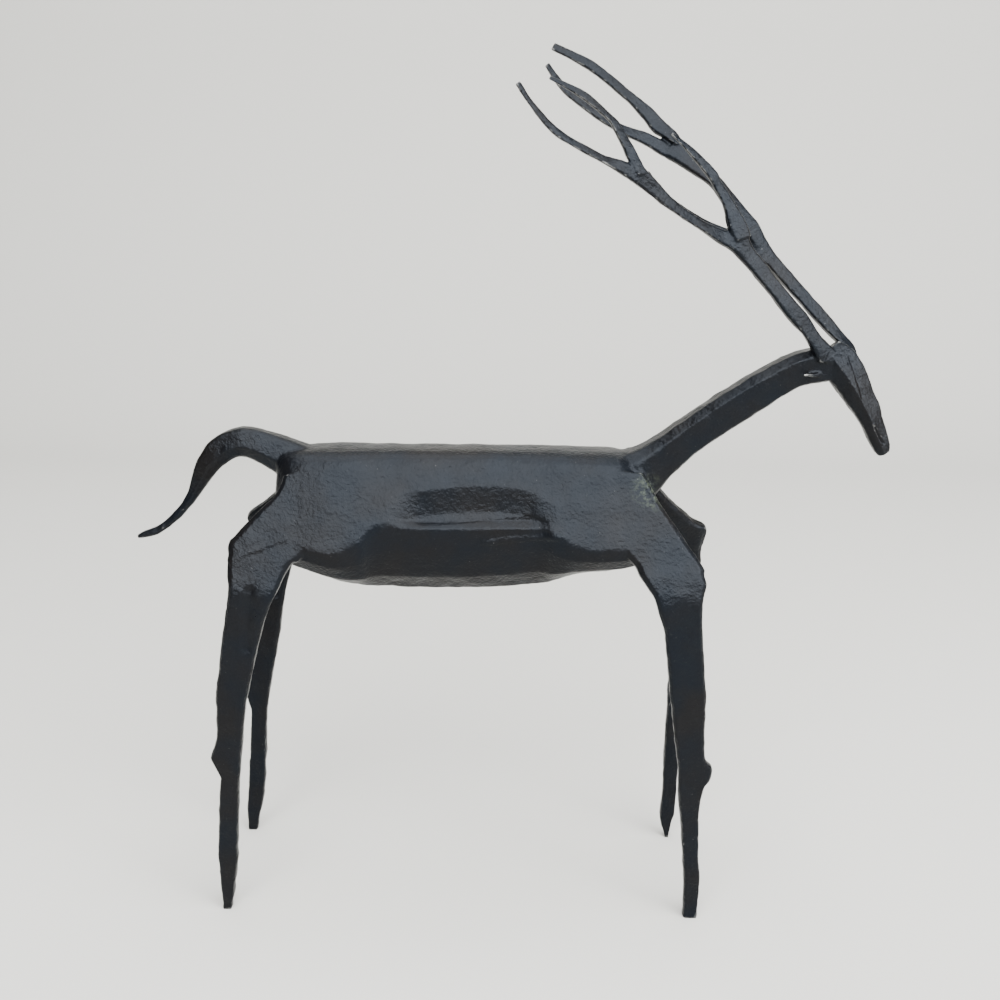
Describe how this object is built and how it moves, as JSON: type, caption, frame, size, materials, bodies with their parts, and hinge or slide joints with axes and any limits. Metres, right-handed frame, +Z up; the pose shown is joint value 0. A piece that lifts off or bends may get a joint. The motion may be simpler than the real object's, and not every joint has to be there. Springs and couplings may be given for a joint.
{
  "type": "forged iron deer sculpture",
  "caption": "Standing stag forged in one piece from dark iron: barrel body, strap legs, curled tail, raised neck, small wedge head and tall forked antlers swept back.",
  "frame": {"origin": "on the ground under the middle of the sculpture's bounding box", "axes": "+X towards the muzzle, +Y towards the stag's left side, +Z up along the antlers"},
  "size_m": [0.3176, 0.0738, 0.3652],
  "materials": {
    "forged_iron": "black forge scale under wax, satin, rubbed bright on the edges"
  },
  "bodies": {
    "root": {"deer": "forged_iron"}
  },
  "joints": []
}
